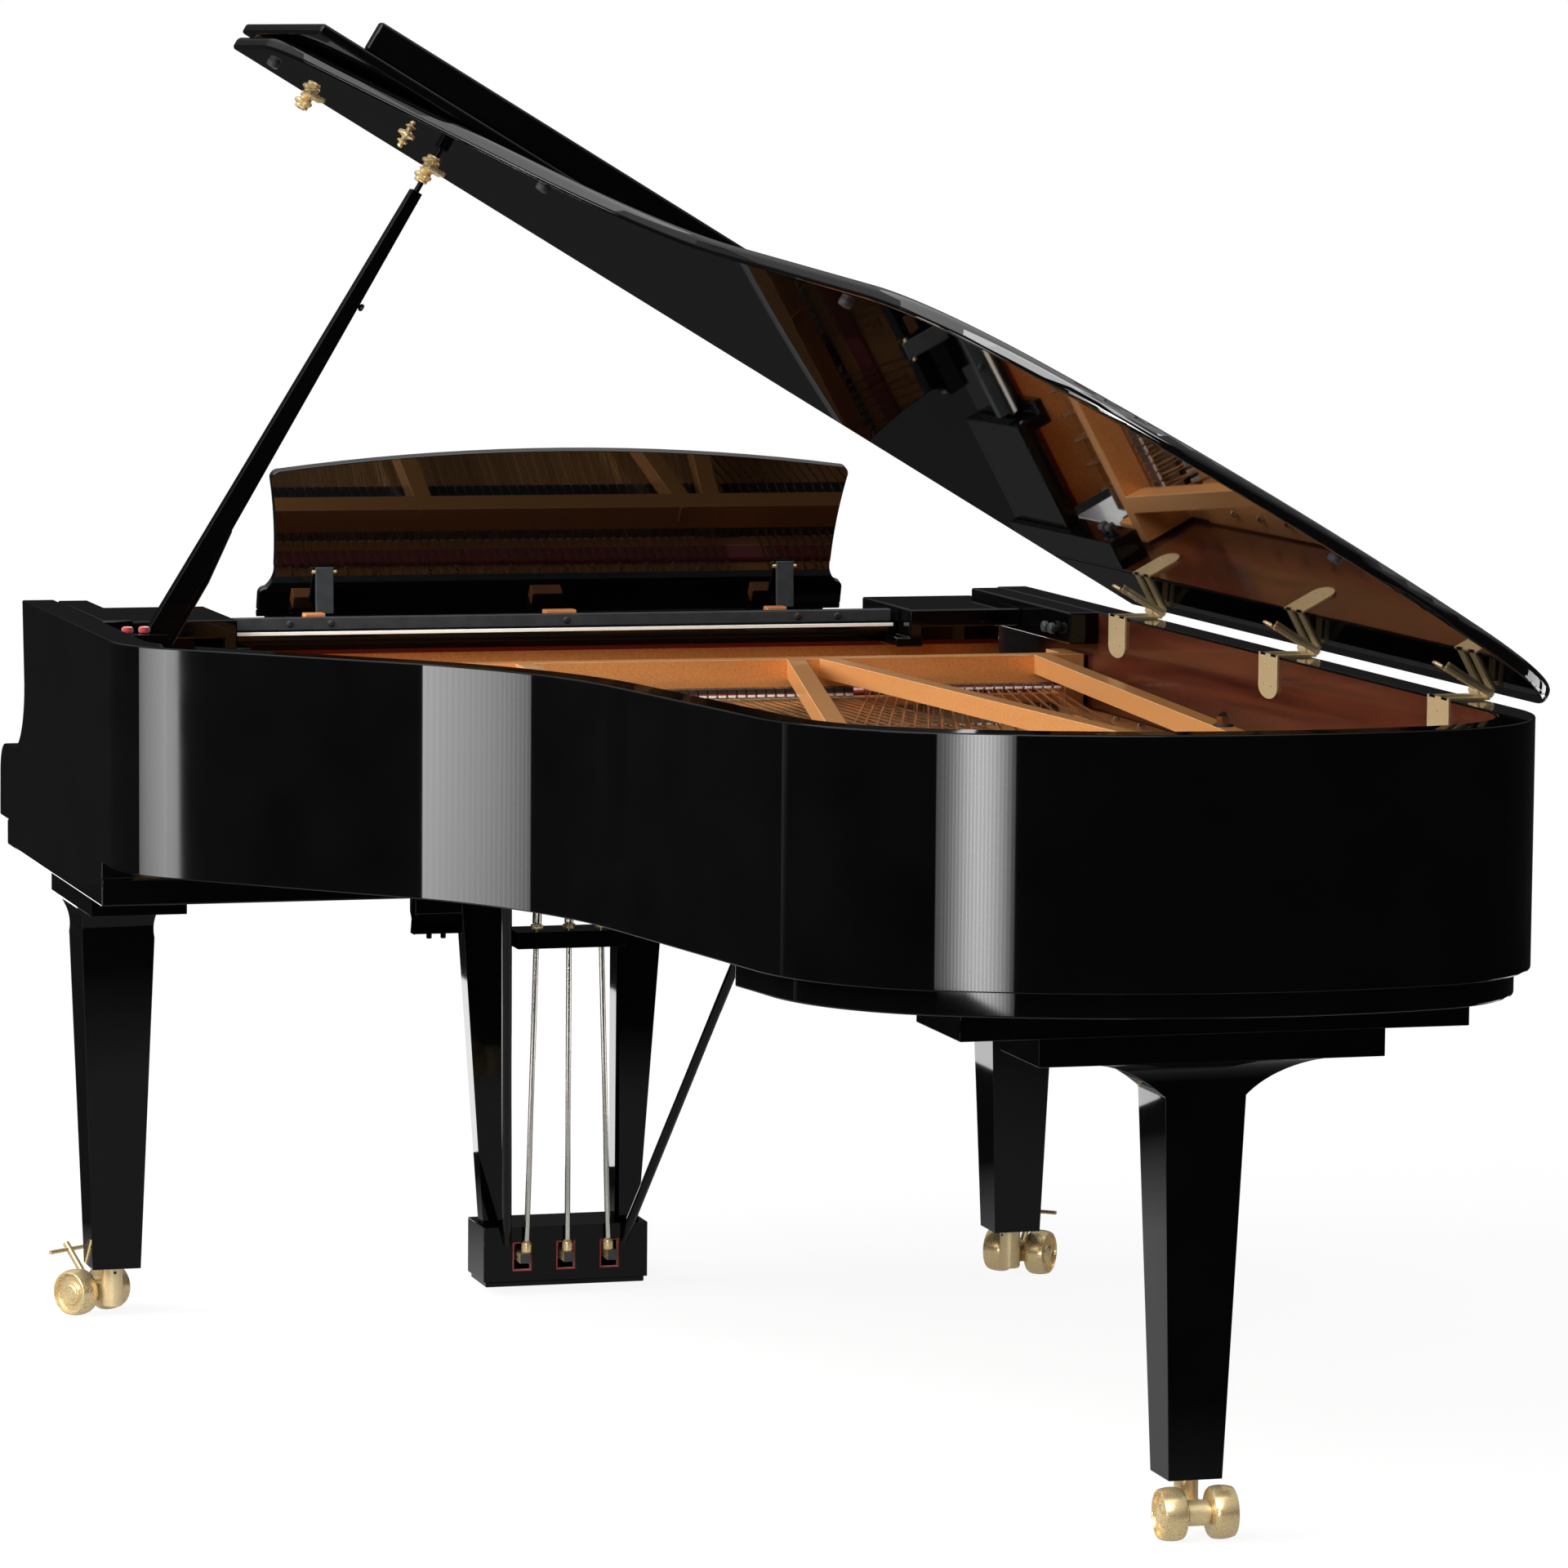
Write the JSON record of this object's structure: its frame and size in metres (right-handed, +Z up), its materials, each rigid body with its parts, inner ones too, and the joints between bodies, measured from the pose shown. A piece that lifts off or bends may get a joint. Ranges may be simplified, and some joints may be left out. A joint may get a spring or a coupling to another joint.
{
  "type": "grand piano",
  "caption": "Black lacquered grand piano with a hinged lid on its prop, folding lid flap, music desk, keyboard, pedals on a lyre and tapered legs on swivel casters.",
  "frame": {"origin": "on the floor, below the middle of the case's width and length", "axes": "+X to the treble side, +Y from the keyboard to the tail, +Z up"},
  "size_m": [1.53, 2.386, 1.8241],
  "materials": {
    "black_lacquer": "polished black lacquer",
    "mahogany": "polished veneer",
    "maple": "satin",
    "spruce": "satin varnish",
    "tan_wood": "satin",
    "gold_iron": "bronzed lacquer",
    "white_keytop": "polished",
    "black_keytop": "satin",
    "hammer_felt": "wood and felt",
    "damper_wood": "satin",
    "steel": "bright",
    "copper": "bright",
    "brass": "polished",
    "black_rubber": "matte"
  },
  "bodies": {
    "case": {"action_frame": "maple", "bass_strings": "copper", "bridges": "maple", "case_beams": "black_lacquer", "desk_shelves": "black_lacquer", "hinge_straps": "brass", "inner_rim": "maple", "iron_plate": "gold_iron", "key_blocks": "black_lacquer", "key_frame": "maple", "keybed": "black_lacquer", "leg_bass": "black_lacquer", "leg_tail": "black_lacquer", "leg_treble": "black_lacquer", "lyre_box": "black_lacquer", "lyre_braces": "brass", "lyre_frame": "black_lacquer", "outer_rim": "black_lacquer", "pinblock": "maple", "plain_strings": "steel", "prop_bracket": "black_lacquer", "rim_veneer": "mahogany", "soundboard": "spruce", "tail_board": "black_lacquer", "trap_box": "black_lacquer", "tuning_pins": "steel"},
    "lid": {"lid_main": "black_lacquer", "flap_hinge_lid": "brass", "hinge_leaves": "brass", "lid_bumpers": "black_rubber", "prop_cups": "brass"},
    "flap": {"lid_flap": "black_lacquer", "flap_nosing": "black_lacquer", "flap_hinge_flap": "brass"},
    "prop": {"lid_prop": "black_lacquer"},
    "tray": {"desk_tray": "black_lacquer", "desk_bar": "black_lacquer", "desk_rests": "tan_wood"},
    "desk": {"music_desk": "black_lacquer"},
    "desk_arms": {"desk_arms": "black_lacquer"},
    "fallboard": {"fallboard": "black_lacquer"},
    "white_keys": {"white_keys": "white_keytop"},
    "black_keys": {"black_keys": "black_keytop"},
    "white_hammers": {"white_hammers": "hammer_felt"},
    "black_hammers": {"black_hammers": "hammer_felt"},
    "dampers": {"dampers": "damper_wood"},
    "pedal_soft": {"pedal_soft": "brass"},
    "rod_soft": {"pedal_rod_soft": "brass"},
    "pedal_sustain": {"pedal_sustain": "brass"},
    "rod_sustain": {"pedal_rod_sustain": "brass"},
    "pedal_damper": {"pedal_damper": "brass"},
    "rod_damper": {"pedal_rod_damper": "brass"},
    "fork_treble": {"caster_fork_treble": "brass"},
    "wheels_treble": {"caster_wheels_treble": "brass"},
    "brake_treble": {"caster_brake_treble": "brass"},
    "fork_bass": {"caster_fork_bass": "brass"},
    "wheels_bass": {"caster_wheels_bass": "brass"},
    "brake_bass": {"caster_brake_bass": "brass"},
    "fork_tail": {"caster_fork_tail": "brass"},
    "wheels_tail": {"caster_wheels_tail": "brass"}
  },
  "joints": [
    {"name": "lid_hinge", "type": "hinge", "parent": "case", "child": "lid", "pos_m": [-0.761, 0, 1.008], "axis": [0, -1, 0], "range_deg": [-30.8, 0]},
    {"name": "flap_hinge", "type": "hinge", "parent": "lid", "child": "flap", "pos_m": [-0.1186, -0.511, 1.41656], "axis": [0.859, 0, 0.512], "range_deg": [0, 180]},
    {"name": "prop_pivot", "type": "hinge", "parent": "case", "child": "prop", "pos_m": [0.6658, -0.525, 0.96], "axis": [0, -1, 0], "range_deg": [0, 59.3]},
    {"name": "tray_slide", "type": "slide", "parent": "case", "child": "tray", "axis": [0, 1, 0], "range_m": [0, 0.1]},
    {"name": "desk_hinge", "type": "hinge", "parent": "tray", "child": "desk", "pos_m": [0, -0.897, 0.985], "axis": [1, 0, 0], "range_deg": [-45, 0]},
    {"name": "desk_arm_pivot", "type": "hinge", "parent": "desk", "child": "desk_arms", "pos_m": [0, -0.869, 1.0517], "axis": [1, 0, 0], "range_deg": [-20, 0]},
    {"name": "fallboard_hinge", "type": "hinge", "parent": "case", "child": "fallboard", "pos_m": [0, -0.939, 0.765], "axis": [-1, 0, 0], "range_deg": [-90, 0]},
    {"name": "white_key_tilt", "type": "hinge", "parent": "case", "child": "white_keys", "pos_m": [0, -0.859, 0.7138], "axis": [1, 0, 0], "range_deg": [0, 2.5], "stiffness_Nm_per_rad": 60, "springref_deg": -8.59},
    {"name": "white_hammer_pivot", "type": "hinge", "parent": "case", "child": "white_hammers", "pos_m": [0, -0.6755, 0.8], "axis": [1, 0, 0], "range_deg": [0, 18.6]},
    {"name": "black_key_tilt", "type": "hinge", "parent": "case", "child": "black_keys", "pos_m": [0, -0.859, 0.7138], "axis": [1, 0, 0], "range_deg": [0, 2.5], "stiffness_Nm_per_rad": 60, "springref_deg": -8.59},
    {"name": "black_hammer_pivot", "type": "hinge", "parent": "case", "child": "black_hammers", "pos_m": [0, -0.6755, 0.8], "axis": [1, 0, 0], "range_deg": [0, 18.6]},
    {"name": "pedal_soft_pivot", "type": "hinge", "parent": "case", "child": "pedal_soft", "pos_m": [0, -0.837, 0.056], "axis": [1, 0, 0], "range_deg": [0, 4.5], "stiffness_Nm_per_rad": 12, "springref_deg": -5.73},
    {"name": "rod_soft_lift", "type": "slide", "parent": "case", "child": "rod_soft", "axis": [0.0283, 0, 0.9996], "range_m": [0, 0.0048]},
    {"name": "pedal_sustain_pivot", "type": "hinge", "parent": "case", "child": "pedal_sustain", "pos_m": [0, -0.837, 0.056], "axis": [1, 0, 0], "range_deg": [0, 4.5], "stiffness_Nm_per_rad": 12, "springref_deg": -5.73},
    {"name": "rod_sustain_lift", "type": "slide", "parent": "case", "child": "rod_sustain", "axis": [0, 0, 1], "range_m": [0, 0.0048]},
    {"name": "pedal_damper_pivot", "type": "hinge", "parent": "case", "child": "pedal_damper", "pos_m": [0, -0.837, 0.056], "axis": [1, 0, 0], "range_deg": [0, 4.5], "stiffness_Nm_per_rad": 12, "springref_deg": -5.73},
    {"name": "rod_damper_lift", "type": "slide", "parent": "case", "child": "rod_damper", "axis": [-0.0283, 0, 0.9996], "range_m": [0, 0.0048]},
    {"name": "damper_lift", "type": "slide", "parent": "case", "child": "dampers", "axis": [0, 0, 1], "range_m": [0, 0.0061]},
    {"name": "caster_treble_swivel", "type": "hinge", "parent": "case", "child": "fork_treble", "pos_m": [0.668, -0.769, 0.09], "axis": [0, 0, 1], "continuous": true},
    {"name": "caster_treble_roll", "type": "hinge", "parent": "fork_treble", "child": "wheels_treble", "pos_m": [0.69094, -0.80177, 0.033], "axis": [0.8192, 0.5736, 0], "continuous": true},
    {"name": "caster_treble_brake", "type": "hinge", "parent": "fork_treble", "child": "brake_treble", "pos_m": [0.69094, -0.80177, 0.033], "axis": [0.3763, -0.5374, 0.7547], "range_deg": [-90, 90]},
    {"name": "caster_bass_swivel", "type": "hinge", "parent": "case", "child": "fork_bass", "pos_m": [-0.668, -0.769, 0.09], "axis": [0, 0, 1], "continuous": true},
    {"name": "caster_bass_roll", "type": "hinge", "parent": "fork_bass", "child": "wheels_bass", "pos_m": [-0.69371, -0.79964, 0.033], "axis": [0.766, -0.6428, 0], "continuous": true},
    {"name": "caster_bass_brake", "type": "hinge", "parent": "fork_bass", "child": "brake_bass", "pos_m": [-0.69371, -0.79964, 0.033], "axis": [-0.4217, -0.5026, 0.7547], "range_deg": [-90, 90]},
    {"name": "caster_tail_swivel", "type": "hinge", "parent": "case", "child": "fork_tail", "pos_m": [-0.335, 0.956, 0.09], "axis": [0, 0, 1], "continuous": true},
    {"name": "caster_tail_roll", "type": "hinge", "parent": "fork_tail", "child": "wheels_tail", "pos_m": [-0.3336, 0.99598, 0.033], "axis": [-0.9994, 0.0349, 0], "continuous": true}
  ],
  "couplings": [
    {"joint": "prop_pivot", "follows": "lid_hinge", "ratio": -1.922},
    {"joint": "desk_arm_pivot", "follows": "desk_hinge", "ratio": 0.43},
    {"joint": "white_hammer_pivot", "follows": "white_key_tilt", "ratio": 7.4},
    {"joint": "black_hammer_pivot", "follows": "black_key_tilt", "ratio": 7.4},
    {"joint": "damper_lift", "follows": "pedal_damper_pivot", "m_per_rad": 0.0764},
    {"joint": "rod_soft_lift", "follows": "pedal_soft_pivot", "m_per_rad": 0.06},
    {"joint": "rod_sustain_lift", "follows": "pedal_sustain_pivot", "m_per_rad": 0.06},
    {"joint": "rod_damper_lift", "follows": "pedal_damper_pivot", "m_per_rad": 0.06}
  ]
}
